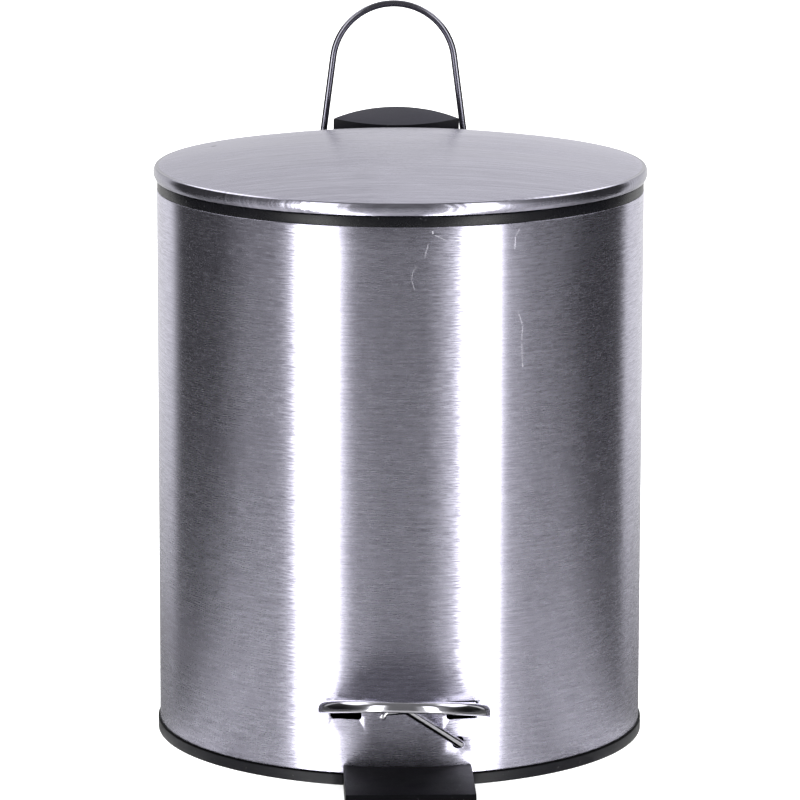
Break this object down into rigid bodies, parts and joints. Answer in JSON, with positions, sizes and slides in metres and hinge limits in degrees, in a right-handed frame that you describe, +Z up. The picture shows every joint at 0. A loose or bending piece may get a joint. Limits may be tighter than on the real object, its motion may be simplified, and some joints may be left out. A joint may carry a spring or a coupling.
{
  "type": "pedal trash can",
  "caption": "Round steel pedal bin with a domed lid opened by a foot pedal through a crank wire and lift rod, a removable bucket and a wire carry handle.",
  "frame": {"origin": "on the floor, on the axis of the round shell, at the underside of the base", "axes": "+Z up along the shell's axis, -Y to the front with the pedal and the front foot, +Y to the lid hinge at the rear, +X to the right as seen from the front"},
  "size_m": [0.208, 0.2739, 0.297],
  "materials": {
    "shell_steel": "horizontally brushed",
    "lid_steel": "fine brushed",
    "pedal_chrome": "polished",
    "handle_wire": "satin plated",
    "bright_wire": "bright plated",
    "zinc_steel": "zinc plated",
    "base_plastic": "satin moulded",
    "foot_plastic": "satin moulded",
    "collar_plastic": "satin moulded",
    "hinge_plastic": "fine grained",
    "inner_plastic": "moulded",
    "bucket_plastic": "moulded",
    "rubber": "matte"
  },
  "bodies": {
    "bin": {"outer_shell": "shell_steel", "base_tray": "base_plastic", "front_foot": "foot_plastic", "foot_screws": "zinc_steel", "pedal_bracket": "zinc_steel", "bracket_screws": "zinc_steel", "pedal_pin": "zinc_steel", "pedal_pin_clips": "zinc_steel", "crank_saddle_front": "inner_plastic", "crank_saddle_rear": "inner_plastic", "rod_guides": "zinc_steel", "top_collar": "collar_plastic", "lid_bumpers": "rubber", "hinge_housing": "hinge_plastic", "housing_screws": "zinc_steel", "hinge_pin": "zinc_steel", "inner_bucket": "bucket_plastic", "bucket_bail": "bright_wire"},
    "lid": {"lid_skin": "lid_steel", "lid_bracket": "inner_plastic", "lid_cap": "hinge_plastic", "lid_screws": "zinc_steel"},
    "pedal": {"pedal_plate": "pedal_chrome"},
    "crank": {"crank_rod": "bright_wire"},
    "lift": {"lift_rod": "zinc_steel"},
    "handle": {"carry_handle": "handle_wire"}
  },
  "joints": [
    {"name": "lid_open", "type": "hinge", "parent": "bin", "child": "lid", "pos_m": [0, 0.1095, 0.2375], "axis": [-1, 0, 0], "range_deg": [0, 75]},
    {"name": "pedal_press", "type": "hinge", "parent": "bin", "child": "pedal", "pos_m": [0, -0.088, 0.0305], "axis": [1, 0, 0], "range_deg": [0, 25]},
    {"name": "crank_turn", "type": "hinge", "parent": "bin", "child": "crank", "pos_m": [-0.03, 0.088, 0.018], "axis": [0.2683, -0.9633, 0], "range_deg": [0, 31.25]},
    {"name": "rod_lift", "type": "slide", "parent": "bin", "child": "lift", "axis": [0, 0, 1], "range_m": [0, 0.0168]},
    {"name": "handle_swing", "type": "hinge", "parent": "bin", "child": "handle", "pos_m": [0, 0.121, 0.218], "axis": [-1, 0, 0], "range_deg": [0, 165]}
  ],
  "couplings": [
    {"joint": "pedal_press", "follows": "lid_open", "ratio": 0.3333},
    {"joint": "crank_turn", "follows": "lid_open", "ratio": 0.416},
    {"joint": "rod_lift", "follows": "lid_open", "m_per_rad": 0.0128}
  ]
}
